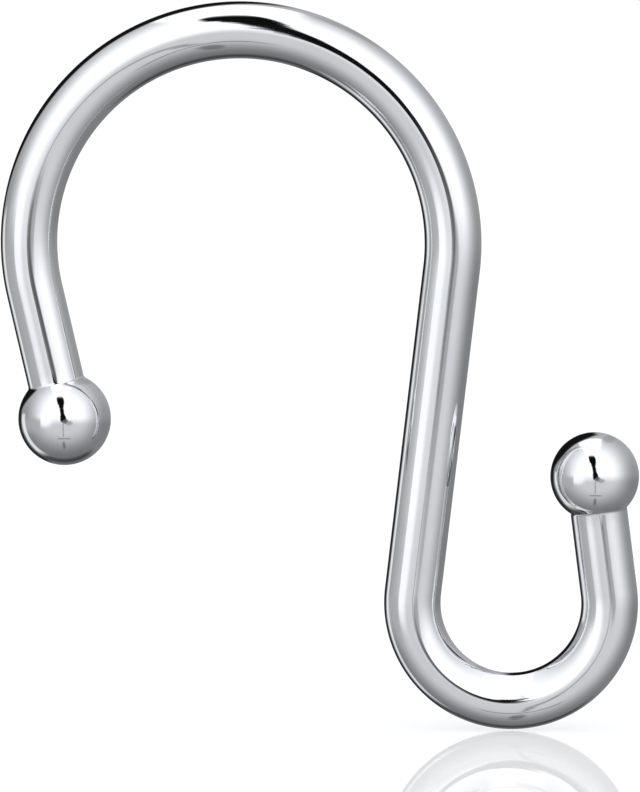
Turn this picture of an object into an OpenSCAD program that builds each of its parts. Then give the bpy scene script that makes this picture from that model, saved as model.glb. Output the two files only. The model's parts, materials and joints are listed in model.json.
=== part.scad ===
// Shower curtain hook: one round wire bent in a flat S, with a ball on each end.
// The hook lies in the XZ plane. The origin is the centre of the rod loop and +Z is up.

/* [Wire] */
// Diameter of the round wire
wire_d = 5; // [3.5:0.1:6.5]
// Radius of the small fillet where each ball runs into the wire
neck_fillet_r = 0.3; // [0.1:0.05:0.6]

/* [Rod loop] */
// Clear diameter inside the loop that rides on the curtain rod
rod_loop_inner_d = 31.8; // [26:0.1:50]
// Length of the straight leg from the loop to the centre of its ball
rod_leg_len = 11.5; // [8:0.1:18]
// Lean of that leg from upright, with its foot turned in towards the shank
rod_leg_lean = 12.7; // [0:0.1:20]
// Diameter of the ball on the free end of that leg
rod_ball_d = 8.2; // [7.5:0.1:10]

/* [Shank] */
// Length of straight wire between the rod loop and the curtain bend
shank_len = 28.2; // [15:0.1:60]
// Lean of the shank from upright, with its foot turned in under the rod loop
shank_lean = 6.9; // [0:0.1:12]

/* [Curtain bend] */
// Clear diameter inside the bend that holds the curtain
curtain_bend_inner_d = 12.1; // [10:0.1:20]
// Length of the straight leg from the bend to the centre of its ball
curtain_leg_len = 10.1; // [8:0.1:14]
// Lean of that leg from upright, with its ball turned in towards the shank
curtain_leg_lean = 7.1; // [0:0.1:12]
// Diameter of the ball on the free end of that leg
curtain_ball_d = 7.8; // [7.5:0.1:10]

/* [Hidden] */
$fn = 96;

wire_r = wire_d / 2;

// Radii of the two bends, on the centre line of the wire
rod_loop_r = rod_loop_inner_d / 2 + wire_r;
curtain_bend_r = curtain_bend_inner_d / 2 + wire_r;

// Angles that the two bends turn through, from the shank round to the free leg
rod_loop_sweep = 180 + shank_lean + rod_leg_lean;
curtain_bend_sweep = 180 + shank_lean + curtain_leg_lean;

// The free legs are a hair slimmer than the wire and start this far inside their bends, so that
// each one fuses cleanly with its bend at any angle
leg_lap = 0.3;
leg_slim = 0.03;
leg_r = wire_r - leg_slim;

// The neck fillets bite this deep into ball and leg, so that they meet them cleanly
fillet_bite = 0.002;

// The sections below are drawn flat in the XY plane with the shank along Y

// Wire bent round the origin, from the X axis through a sweep, anticlockwise
module wire_bend(r, sweep) {
    rotate_extrude(angle = sweep)
        translate([r, 0])
            circle(r = wire_r);
}

// Ball at the origin, on the end of a leg that comes in along +Z, with a fillet round its neck
module end_ball(ball_d) {
    ball_r = ball_d / 2;
    fillet_x = leg_r + neck_fillet_r;
    fillet_z = sqrt(pow(ball_r + neck_fillet_r, 2) - pow(fillet_x, 2));
    sphere(r = ball_r);
    rotate_extrude()
        difference() {
            polygon([[0, 0], [fillet_x, fillet_z], [0, fillet_z]]);
            translate([fillet_x, fillet_z])
                circle(r = neck_fillet_r + fillet_bite);
        }
}

// Straight leg from the origin along +Y, with the ball's centre at its far end
module free_leg(len, ball_d) {
    translate([0, len, 0])
        rotate([90, 0, 0]) {
            cylinder(h = len + leg_lap, r = leg_r);
            end_ball(ball_d);
        }
}

// A bend with its free leg and ball, round the origin, starting where the shank meets it
module bend_and_leg(r, sweep, leg_len, ball_d) {
    wire_bend(r, sweep);
    rotate([0, 0, sweep])
        translate([r, 0, 0])
            free_leg(leg_len, ball_d);
}

// Loop over the curtain rod, with the leg and ball that keep the hook on it
module rod_loop() {
    bend_and_leg(rod_loop_r, rod_loop_sweep, rod_leg_len, rod_ball_d);
}

// Straight wire down from the rod loop
module shank() {
    translate([rod_loop_r, 0, 0])
        rotate([90, 0, 0])
            cylinder(h = shank_len, r = wire_r);
}

// Bend under the curtain's eyelet, with the leg and ball that keep the curtain on it
module curtain_bend() {
    translate([rod_loop_r + curtain_bend_r, -shank_len, 0])
        rotate([0, 0, 180])
            bend_and_leg(curtain_bend_r, curtain_bend_sweep, curtain_leg_len, curtain_ball_d);
}

// The whole hook is one solid: its wire and balls are plated over together
module hook() {
    color([0.80, 0.81, 0.83])
        rotate([90, 0, 0])
            rotate([0, 0, -shank_lean]) {
                rod_loop();
                shank();
                curtain_bend();
            }
}

hook();
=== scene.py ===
import json
import math

import bmesh
import bpy
from mathutils import Matrix, Vector


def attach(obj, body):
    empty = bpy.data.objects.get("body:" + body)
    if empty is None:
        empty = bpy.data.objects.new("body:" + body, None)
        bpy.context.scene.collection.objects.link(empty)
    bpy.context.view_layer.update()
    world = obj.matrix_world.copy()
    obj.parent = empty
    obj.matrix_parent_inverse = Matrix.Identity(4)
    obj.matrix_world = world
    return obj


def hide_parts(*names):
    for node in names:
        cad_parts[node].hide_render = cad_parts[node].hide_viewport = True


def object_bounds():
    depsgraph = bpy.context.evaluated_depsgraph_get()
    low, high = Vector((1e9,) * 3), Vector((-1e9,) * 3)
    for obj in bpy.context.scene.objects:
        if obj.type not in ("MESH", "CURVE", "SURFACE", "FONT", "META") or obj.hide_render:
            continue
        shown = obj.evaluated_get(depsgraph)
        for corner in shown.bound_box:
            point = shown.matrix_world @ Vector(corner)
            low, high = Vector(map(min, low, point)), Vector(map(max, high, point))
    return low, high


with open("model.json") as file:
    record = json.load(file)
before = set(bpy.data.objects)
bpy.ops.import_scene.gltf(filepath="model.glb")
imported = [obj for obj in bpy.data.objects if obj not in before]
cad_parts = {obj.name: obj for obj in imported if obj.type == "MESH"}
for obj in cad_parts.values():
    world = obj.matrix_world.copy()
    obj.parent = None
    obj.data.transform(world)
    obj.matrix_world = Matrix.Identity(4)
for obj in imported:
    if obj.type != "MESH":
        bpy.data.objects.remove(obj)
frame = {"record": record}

cad_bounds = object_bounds()
mounts = {mount["name"]: Vector(mount["pos_m"]) for mount in frame["record"]["mounts"]}

# Sizes of the hook in metres, the same as in the CAD model
MM = 0.001
WIRE_R = 2.5 * MM
NECK_FILLET_R = 0.3 * MM
ROD_LOOP_R = 18.4 * MM
ROD_LEG_LEN = 11.5 * MM
ROD_LEG_LEAN = math.radians(12.7)
ROD_BALL_R = 4.1 * MM
SHANK_LEN = 28.2 * MM
SHANK_LEAN = math.radians(6.9)
CURTAIN_BEND_R = 8.55 * MM
CURTAIN_LEG_LEN = 10.1 * MM
CURTAIN_LEG_LEAN = math.radians(7.1)
CURTAIN_BALL_R = 3.9 * MM

# How finely the visible skin of the hook is divided
RING_SIDES = 160
BEND_STEP = math.radians(1.25)
STRAIGHT_STEP = 1.0 * MM
BALL_STEPS = 44
FILLET_STEPS = 6
TIP_RADIUS = 1e-6 * MM

# Flats that the bending tool left on the inner side of the curtain bend, front and back: angles
# from the front or back of the wire towards the inside of the bend, and how flat they are
PRESS_MIDDLE = math.radians(38.0)
PRESS_HALF = math.radians(29.0)
PRESS_SHARE = 0.9

# Framing of the photograph: its size, the rod loop's centre in it, its scale, and the stand of the
# camera that took it
PHOTO_W = 640
PHOTO_H = 792
LOOP_CENTRE_PX = (240.4, 243.5)
PX_PER_M = 11558
CAMERA_DISTANCE = 0.38
CAMERA_TURN = math.radians(4.0)
CAMERA_RISE = math.radians(5.0)
CAMERA_ROLL = math.radians(-0.23)
SENSOR = 36

# Axes of the camera, which stands a little to the right of the hook and above it
LEVEL_RIGHT = Vector((math.cos(CAMERA_TURN), math.sin(CAMERA_TURN), 0.0))
LEVEL_AHEAD = Vector((-math.sin(CAMERA_TURN), math.cos(CAMERA_TURN), 0.0))
UPRIGHT = Vector((0.0, 0.0, 1.0))
FORWARD = math.cos(CAMERA_RISE) * LEVEL_AHEAD - math.sin(CAMERA_RISE) * UPRIGHT
RIGHT = math.cos(CAMERA_ROLL) * LEVEL_RIGHT + math.sin(CAMERA_ROLL) * LEVEL_RIGHT.cross(FORWARD)
UP = RIGHT.cross(FORWARD)

# The hook stands this far above the glossy table, which is square
FLOOR_GAP = 0.05 * MM
FLOOR_SIZE = 8.0

# Tones that the studio shows in the chrome: 0 is black and 1 is white
BACKDROP_TONE = 1.0
BOX_TONE = 1.03
PANEL_TONE = 1.05
DOOR_TONE = 0.95
FAR_WALL_TONE = 0.66
WALL_TONE = 0.55
TABLE_EDGE_TONE = 0.22
DUSK_TONE = 0.16
ROOM_TONE = 0.1
GAP_TONE = 0.08
STAND_SHARE = 0.6

# From a tone to the light that gives it in chrome, which sends back about four fifths of it
SCREEN_GAMMA = 2.2
CHROME_LOSS = 1.22
COOL_TINT = (0.985, 1.0, 1.02)

# Uneven outline of the camera and its stand: scale of its noise, and its swing from side to side
RAGGED_SCALE = 14.0
RAGGED_REACH = 0.03

# Glossy table: grey that it scatters, light of its own, share that it mirrors and its roughness
TABLE_GREY = 0.38
TABLE_GLOW = 0.67
TABLE_MIRROR = 0.26
TABLE_ROUGHNESS = 0.02

# Chrome: scale of its noise, along the wire and round it or in every direction, and bump height
DRAW_LINES = (60, 5000, 1)
DRAW_BANDS = (30, 650, 1)
RIPPLE_SCALE = 450.0
PATCH_SCALE = 160.0
BUMP_HEIGHT = 0.004 * MM
CHROME_DARK = (0.80, 0.81, 0.83, 1)
CHROME_LIGHT = (0.85, 0.86, 0.875, 1)

# Smallest divisor, where the middle of the sky would divide by nothing
TINY = 1e-4


# Skin of the hook

def pressed(angle, share):
    """Radius factor of the section, at an angle from the inside of the bend towards its back."""
    lean = math.asin(max(0.0, math.cos(angle)))
    off = min(abs(lean - PRESS_MIDDLE), PRESS_HALF)
    return 1.0 - share * (1.0 - math.cos(PRESS_HALF) / math.cos(off))


def heading(angle):
    """Unit vector in the hook's plane, at an angle from +X towards +Z."""
    return Vector((math.cos(angle), 0.0, math.sin(angle)))


def leg_profile(leg_len, ball_r):
    """Stations of a free leg as (distance from the ball's centre, radius), from its tip to the bend."""
    reach = ball_r + NECK_FILLET_R
    fillet_x = WIRE_R + NECK_FILLET_R
    fillet_z = math.sqrt(reach ** 2 - fillet_x ** 2)
    neck_angle = math.atan2(fillet_x, fillet_z)
    stations = []
    for i in range(BALL_STEPS + 1):
        turn = (math.pi - neck_angle) * i / BALL_STEPS
        stations.append((-ball_r * math.cos(turn), ball_r * math.sin(turn)))
    for i in range(1, FILLET_STEPS + 1):
        turn = neck_angle + (math.pi / 2 - neck_angle) * i / FILLET_STEPS
        off_z = NECK_FILLET_R * math.cos(turn)
        off_x = NECK_FILLET_R * math.sin(turn)
        stations.append((fillet_z - off_z, fillet_x - off_x))
    steps = math.ceil((leg_len - fillet_z) / STRAIGHT_STEP)
    for i in range(1, steps):
        stations.append((fillet_z + (leg_len - fillet_z) * i / steps, WIRE_R))
    return stations


def bend_stations(centre, bend_r, start, sweep, turn, press):
    """Stations round a bend. Turn is 1 for anticlockwise, -1 for clockwise. Press flattens its inside."""
    steps = math.ceil(sweep / BEND_STEP)
    stations = []
    for i in range(steps + 1):
        angle = start + turn * sweep * i / steps
        along = heading(angle + turn * math.pi / 2)
        eased = math.sin(math.pi * i / steps) ** 3
        stations.append((centre + bend_r * heading(angle), along, WIRE_R, press * eased))
    return stations


def hook_stations():
    """Rings along the wire as (centre, direction, radius, press), from rod ball to curtain ball."""
    loop_at = mounts["rod_loop"]
    leg_top = loop_at + ROD_LOOP_R * heading(math.pi + ROD_LEG_LEAN)
    leg_up = heading(math.pi / 2 + ROD_LEG_LEAN)
    rod_ball_at = leg_top - ROD_LEG_LEN * leg_up
    shank_top = loop_at + ROD_LOOP_R * heading(-SHANK_LEAN)
    shank_down = heading(-math.pi / 2 - SHANK_LEAN)
    shank_foot = shank_top + SHANK_LEN * shank_down
    bend_at = shank_foot + CURTAIN_BEND_R * heading(-SHANK_LEAN)
    foot = bend_at + CURTAIN_BEND_R * heading(CURTAIN_LEG_LEAN)
    curtain_up = heading(math.pi / 2 + CURTAIN_LEG_LEAN)
    curtain_ball_at = foot + CURTAIN_LEG_LEN * curtain_up

    stations = []
    for t, radius in leg_profile(ROD_LEG_LEN, ROD_BALL_R):
        stations.append((rod_ball_at + t * leg_up, leg_up, radius, 0.0))
    sweep = math.pi + ROD_LEG_LEAN + SHANK_LEAN
    stations += bend_stations(loop_at, ROD_LOOP_R, math.pi + ROD_LEG_LEAN, sweep, -1, 0.0)
    steps = math.ceil(SHANK_LEN / STRAIGHT_STEP)
    for i in range(1, steps):
        stations.append((shank_top + (SHANK_LEN * i / steps) * shank_down, shank_down, WIRE_R, 0.0))
    sweep = math.pi + SHANK_LEAN + CURTAIN_LEG_LEAN
    stations += bend_stations(bend_at, CURTAIN_BEND_R, math.pi - SHANK_LEAN, sweep, 1, PRESS_SHARE)
    for t, radius in reversed(leg_profile(CURTAIN_LEG_LEN, CURTAIN_BALL_R)):
        stations.append((curtain_ball_at - t * curtain_up, curtain_up, radius, 0.0))
    return stations


def add_ring(bm, centre, along, radius, press):
    """One ring of points round the wire, or a single point at the tip of a ball."""
    if radius < TIP_RADIUS:
        return [bm.verts.new(centre)]
    across = Vector((0.0, 1.0, 0.0))
    inward = along.cross(across)
    ring = []
    for i in range(RING_SIDES):
        angle = 2 * math.pi * i / RING_SIDES
        offset = math.cos(angle) * inward + math.sin(angle) * across
        ring.append(bm.verts.new(centre + radius * pressed(angle, press) * offset))
    return ring


def bridge(bm, ring, next_ring):
    """Faces between two rings, or from a ring to a tip."""
    for i in range(RING_SIDES):
        j = (i + 1) % RING_SIDES
        if len(ring) == 1:
            bm.faces.new((ring[0], next_ring[j], next_ring[i]))
        elif len(next_ring) == 1:
            bm.faces.new((ring[i], ring[j], next_ring[0]))
        else:
            bm.faces.new((ring[i], ring[j], next_ring[j], next_ring[i]))


def lay_uv(bm, lengths):
    """UV in metres: U runs along the wire and V round it.

    For each ring, lengths holds how far along the wire it lies and how many points it has.
    """
    uv = bm.loops.layers.uv.new("along_wire")
    girth = 2 * math.pi * WIRE_R
    place = {}
    index = 0
    for length, size in lengths:
        for i in range(size):
            place[index] = (length, girth * i / RING_SIDES)
            index += 1
    for face in bm.faces:
        values = [place[loop.vert.index] for loop in face.loops]
        wraps = max(v for _, v in values) > girth / 2
        for loop, (u, v) in zip(face.loops, values):
            loop[uv].uv = (u, v + girth if wraps and v < girth / 4 else v)


def build_hook():
    """The whole hook as one closed skin of rings, from the rod ball to the curtain ball."""
    bm = bmesh.new()
    rings = []
    lengths = []
    length = 0.0
    last = None
    for centre, along, radius, press in hook_stations():
        if last is not None:
            length += math.hypot((centre - last[0]).length, radius - last[1])
        last = (centre, radius)
        rings.append(add_ring(bm, centre, along, radius, press))
        lengths.append((length, len(rings[-1])))
    for ring, next_ring in zip(rings, rings[1:]):
        bridge(bm, ring, next_ring)
    bm.verts.index_update()
    lay_uv(bm, lengths)
    bmesh.ops.recalc_face_normals(bm, faces=bm.faces)
    mesh = bpy.data.meshes.new("hook_skin")
    bm.to_mesh(mesh)
    bm.free()
    mesh.shade_smooth()
    skin = bpy.data.objects.new("hook_skin", mesh)
    bpy.context.scene.collection.objects.link(skin)
    return skin


# Shader arithmetic

class Field:
    """A number that varies over a surface or over the sky, built up from Math nodes."""

    def __init__(self, tree, socket):
        self.tree = tree
        self.socket = socket

    def math(self, operation, *others):
        node = self.tree.nodes.new("ShaderNodeMath")
        node.operation = operation
        for slot, value in zip(node.inputs, (self, *others)):
            if isinstance(value, Field):
                self.tree.links.new(value.socket, slot)
            else:
                slot.default_value = value
        return Field(self.tree, node.outputs[0])

    def __add__(self, other):
        return self.math("ADD", other)

    def __sub__(self, other):
        return self.math("SUBTRACT", other)

    def __mul__(self, other):
        return self.math("MULTIPLY", other)

    def __truediv__(self, other):
        return self.math("DIVIDE", other)

    def __neg__(self):
        return self.math("MULTIPLY", -1.0)

    def size(self):
        return self.math("ABSOLUTE")

    def root(self):
        return self.math("SQRT")

    def power(self, exponent):
        return self.math("POWER", exponent)

    def at_least(self, low):
        return self.math("MAXIMUM", low)

    def step(self, low, high):
        """0 at low and 1 at high, smooth between. It falls instead where low is above high."""
        node = self.tree.nodes.new("ShaderNodeMapRange")
        node.interpolation_type = "SMOOTHSTEP"
        self.tree.links.new(self.socket, node.inputs["Value"])
        node.inputs["From Min"].default_value = low
        node.inputs["From Max"].default_value = high
        return Field(self.tree, node.outputs["Result"])

    def towards(self, target, share):
        """This value where share is 0, and target where it is 1."""
        return self + (-self + target) * share


def noise(tree, vector, scale, detail):
    """Soft noise from 0 to 1."""
    node = tree.nodes.new("ShaderNodeTexNoise")
    node.inputs["Scale"].default_value = scale
    node.inputs["Detail"].default_value = detail
    tree.links.new(vector, node.inputs["Vector"])
    return Field(tree, node.outputs["Fac"])


# Studio

def part_along(tree, vector, axis):
    """How far a direction runs along a fixed axis."""
    dot = tree.nodes.new("ShaderNodeVectorMath")
    dot.operation = "DOT_PRODUCT"
    tree.links.new(vector, dot.inputs[0])
    dot.inputs[1].default_value = axis
    return Field(tree, dot.outputs["Value"])


def mirror_ball(tree):
    """Place of a sky direction on a mirror ball that stands in place of the hook: right, up."""
    coords = tree.nodes.new("ShaderNodeTexCoord")
    sky = coords.outputs["Generated"]
    away = part_along(tree, sky, FORWARD)
    stretch = ((-away + 1.0) * 2.0).at_least(1e-6).root()
    return part_along(tree, sky, RIGHT) / stretch, part_along(tree, sky, UP) / stretch


def spot(x, y, centre, radii):
    """1 in the middle of an oval patch of sky, falling softly to 0 beyond its edge."""
    across = (x - centre[0]) / radii[0]
    up = (y - centre[1]) / radii[1]
    return (across * across + up * up).root().step(1.3, 0.5)


def soft_boxes(x, y):
    """Two big soft boxes, one each side of the camera, that fade into the grey walls."""
    wide = x * 1.08
    raised = y - 0.08
    glow = (wide * wide + raised * raised).root().step(0.95, 0.36)
    wall = y.step(0.0, 0.6) * 0.08 + WALL_TONE
    return wall.towards(BOX_TONE, glow)


def with_table(tone, x, y):
    """The table below the soft boxes is greyer, most of all in front of the camera."""
    share = y.step(0.06, -0.15) * (x.size().step(0.75, 0.15) * 0.5 + 0.5)
    return tone * (share * -0.24 + 1.0)


def with_left_box_side(tone, x, y):
    """Bright side of the left soft box, with the wall beyond it."""
    tone = tone.towards(BACKDROP_TONE, spot(x, y, (-0.4, -0.03), (0.17, 0.15)) * 0.85)
    wall = x.step(-0.475, -0.51) * y.step(0.08, -0.08) * y.step(-0.4, -0.15)
    return tone.towards(FAR_WALL_TONE, wall * 0.85)


def with_gap(tone, x, y, ragged):
    """Dark gap between the soft boxes, where the camera stands, with a smear at its right foot."""
    middle = y * -0.17 - 0.005
    half = y.step(0.2, 0.38) * 0.035 + y.step(0.12, 0.0) * 0.02 + 0.037
    fade = (x + ragged - middle).size() - half * y.step(0.53, 0.42)
    gap = fade.step(0.014, -0.01) * y.step(0.50, 0.46) * y.step(-0.1, -0.03)
    tone = tone.towards(GAP_TONE, gap)
    tone = tone.towards(0.38, spot(x, y, (0.045, -0.055), (0.06, 0.055)) * 0.9)
    return tone.towards(0.58, spot(x, y, (0.12, -0.09), (0.08, 0.05)) * 0.75)


def with_stand(tone, x, y, ragged):
    """The camera's stand, below the gap: a post, a crossbar and a foot."""
    post = (x + ragged + 0.008).size().step(0.018, 0.004) * y.step(-0.4, -0.36) * y.step(0.0, -0.06)
    bar = (y + 0.42).size().step(0.02, 0.006) * x.size().step(0.16, 0.1)
    foot = spot(x, y, (-0.005, -0.56), (0.035, 0.09))
    tone = tone.towards(0.45, post * STAND_SHARE)
    tone = tone.towards(0.4, bar * STAND_SHARE)
    return tone.towards(0.35, foot * STAND_SHARE)


def with_ceiling_panel(tone, x, y, r):
    """Ceiling panel over the gap, with a firm left edge and a soft right one."""
    left = x + (y - 0.48) * 0.55 + 0.21
    right = (y - 0.41) * 0.3 + 0.06 - x
    panel = y.step(0.41, 0.5) * left.step(-0.02, 0.03) * right.step(-0.05, 0.05) * r.step(0.86, 0.82)
    return tone.towards(PANEL_TONE, panel)


def with_dark_room(tone, x, y, r):
    """Dark room beyond the upper left of the set, and a grey corner at the upper right."""
    side = (x * -0.574 + y * 0.819) / r.at_least(TINY)
    inner = side.step(0.7, 1.0) * -0.08 + 0.925
    room = (r - inner).step(-0.03, 0.02) * side.step(0.36, 0.5) * x.step(0.2, 0.0)
    tone = tone.towards(ROOM_TONE, room)
    return tone.towards(0.45, spot(x, y, (0.36, 0.8), (0.16, 0.07)) * 0.3)


def with_doorway(tone, x, y, r):
    """Bright doorway and dark wall at the far left."""
    far_left = x.step(-0.3, -0.5) * y.step(0.14, 0.06)
    door = (r - 0.86).size().step(0.045, 0.02) * far_left
    tone = tone.towards(DOOR_TONE, door * 0.8)
    return tone.towards(DUSK_TONE, r.step(0.9, 0.94) * far_left)


def with_table_edge(tone, y, r):
    """Dark front edge of the table."""
    turn = y / r.at_least(TINY)
    front = (r - 0.89).size().step(0.07, 0.0) * turn.step(-0.72, -0.92)
    return tone.towards(TABLE_EDGE_TONE, front * 0.85)


def studio_tone(x, y, ragged):
    """Brightness of the studio as it shows in the chrome.

    The sideways shift named ragged roughens the outline of the camera and its stand.
    """
    r = (x * x + y * y).root()
    tone = soft_boxes(x, y)
    tone = with_table(tone, x, y)
    tone = with_left_box_side(tone, x, y)
    tone = with_gap(tone, x, y, ragged)
    tone = with_stand(tone, x, y, ragged)
    tone = with_ceiling_panel(tone, x, y, r)
    tone = with_dark_room(tone, x, y, r)
    tone = with_doorway(tone, x, y, r)
    tone = with_table_edge(tone, y, r)
    # White backdrop behind the hook
    return tone.towards(BACKDROP_TONE, r.step(0.972, 0.99))


def build_world():
    """The studio that lights the hook and shows in its chrome. The camera sees plain white."""
    world = bpy.data.worlds.new("studio")
    bpy.context.scene.world = world
    world.use_nodes = True
    tree = world.node_tree
    tree.nodes.clear()
    coords = tree.nodes.new("ShaderNodeTexCoord")
    ragged = (noise(tree, coords.outputs["Generated"], RAGGED_SCALE, 3.0) - 0.5) * RAGGED_REACH
    x, y = mirror_ball(tree)
    tone = studio_tone(x, y, ragged).at_least(0.0).power(SCREEN_GAMMA) * CHROME_LOSS
    tint = tree.nodes.new("ShaderNodeVectorMath")
    tint.operation = "MULTIPLY"
    tint.inputs[1].default_value = COOL_TINT
    tree.links.new(tone.socket, tint.inputs[0])
    studio = tree.nodes.new("ShaderNodeBackground")
    tree.links.new(tint.outputs[0], studio.inputs["Color"])
    white = tree.nodes.new("ShaderNodeBackground")
    white.inputs["Color"].default_value = (1, 1, 1, 1)
    path = tree.nodes.new("ShaderNodeLightPath")
    mix = tree.nodes.new("ShaderNodeMixShader")
    out = tree.nodes.new("ShaderNodeOutputWorld")
    tree.links.new(path.outputs["Is Camera Ray"], mix.inputs["Fac"])
    tree.links.new(studio.outputs[0], mix.inputs[1])
    tree.links.new(white.outputs[0], mix.inputs[2])
    tree.links.new(mix.outputs[0], out.inputs["Surface"])


def floor_material():
    """Glossy white table: it keeps the hook's shadow and a faint mirror image of it."""
    mat = bpy.data.materials.new("white_table")
    mat.use_nodes = True
    tree = mat.node_tree
    tree.nodes.clear()
    diffuse = tree.nodes.new("ShaderNodeBsdfDiffuse")
    diffuse.inputs["Color"].default_value = (TABLE_GREY, TABLE_GREY, TABLE_GREY, 1)
    glow = tree.nodes.new("ShaderNodeEmission")
    glow.inputs["Strength"].default_value = TABLE_GLOW
    lit = tree.nodes.new("ShaderNodeAddShader")
    tree.links.new(diffuse.outputs[0], lit.inputs[0])
    tree.links.new(glow.outputs[0], lit.inputs[1])
    gloss = tree.nodes.new("ShaderNodeBsdfGlossy")
    gloss.inputs["Color"].default_value = (1, 1, 1, 1)
    gloss.inputs["Roughness"].default_value = TABLE_ROUGHNESS
    surface = tree.nodes.new("ShaderNodeMixShader")
    surface.inputs["Fac"].default_value = TABLE_MIRROR
    tree.links.new(lit.outputs[0], surface.inputs[1])
    tree.links.new(gloss.outputs[0], surface.inputs[2])
    clear = tree.nodes.new("ShaderNodeBsdfTransparent")
    path = tree.nodes.new("ShaderNodeLightPath")
    mix = tree.nodes.new("ShaderNodeMixShader")
    out = tree.nodes.new("ShaderNodeOutputMaterial")
    tree.links.new(path.outputs["Is Glossy Ray"], mix.inputs["Fac"])
    tree.links.new(surface.outputs[0], mix.inputs[1])
    tree.links.new(clear.outputs[0], mix.inputs[2])
    tree.links.new(mix.outputs[0], out.inputs["Surface"])
    return mat


def build_floor():
    """Table just under the lowest point of the hook."""
    low, _ = cad_bounds
    bpy.ops.mesh.primitive_plane_add(size=FLOOR_SIZE, location=(0, 0, low[2] - FLOOR_GAP))
    floor = bpy.context.object
    floor.name = "table"
    floor.data.materials.append(floor_material())


def build_camera():
    """Nearly square on to the hook, framed as the photograph is."""
    data = bpy.data.cameras.new("camera")
    data.sensor_width = SENSOR
    data.lens = SENSOR * CAMERA_DISTANCE / (PHOTO_H / PX_PER_M)
    camera = bpy.data.objects.new("camera", data)
    right = (PHOTO_W / 2 - LOOP_CENTRE_PX[0]) / PX_PER_M
    up = (LOOP_CENTRE_PX[1] - PHOTO_H / 2) / PX_PER_M
    camera.location = right * RIGHT + up * UP - CAMERA_DISTANCE * FORWARD
    camera.rotation_euler = Matrix((RIGHT, UP, -FORWARD)).transposed().to_euler()
    bpy.context.scene.collection.objects.link(camera)
    bpy.context.scene.camera = camera


# Chrome

def wire_noise(tree, coords, scale, detail):
    """Noise drawn out along the wire, with its own scale along the wire and round it."""
    mapping = tree.nodes.new("ShaderNodeMapping")
    mapping.inputs["Scale"].default_value = scale
    tree.links.new(coords.outputs["UV"], mapping.inputs["Vector"])
    return noise(tree, mapping.outputs[0], 1.0, detail)


def chrome_material():
    """Bright chrome over drawn and polished wire: faint draw lines, broad bands and a soft ripple."""
    mat = bpy.data.materials.new("polished_chrome")
    mat.use_nodes = True
    tree = mat.node_tree
    shader = tree.nodes["Principled BSDF"]
    shader.inputs["Metallic"].default_value = 1.0
    coords = tree.nodes.new("ShaderNodeTexCoord")
    lines = wire_noise(tree, coords, DRAW_LINES, 3.0)
    bands = wire_noise(tree, coords, DRAW_BANDS, 1.0)
    ripple = noise(tree, coords.outputs["Object"], RIPPLE_SCALE, 2.0)
    patches = noise(tree, coords.outputs["Object"], PATCH_SCALE, 4.0)

    height = lines * 0.3 + ripple + bands * 2.2
    bump = tree.nodes.new("ShaderNodeBump")
    bump.inputs["Strength"].default_value = 1.0
    bump.inputs["Distance"].default_value = BUMP_HEIGHT
    tree.links.new(height.socket, bump.inputs["Height"])
    tree.links.new(bump.outputs[0], shader.inputs["Normal"])

    rough = patches.step(0.35, 0.75) * 0.035 + lines * 0.02 + 0.02
    tree.links.new(rough.socket, shader.inputs["Roughness"])

    colour = tree.nodes.new("ShaderNodeMix")
    colour.data_type = "RGBA"
    colour.inputs[6].default_value = CHROME_DARK
    colour.inputs[7].default_value = CHROME_LIGHT
    tree.links.new(patches.step(0.3, 0.7).socket, colour.inputs[0])
    tree.links.new(colour.outputs[2], shader.inputs["Base Color"])
    return mat


build_camera()
build_world()
build_floor()

skin = build_hook()
skin.data.materials.append(chrome_material())
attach(skin, "root")
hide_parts("hook")

bpy.context.scene.view_settings.view_transform = "Standard"
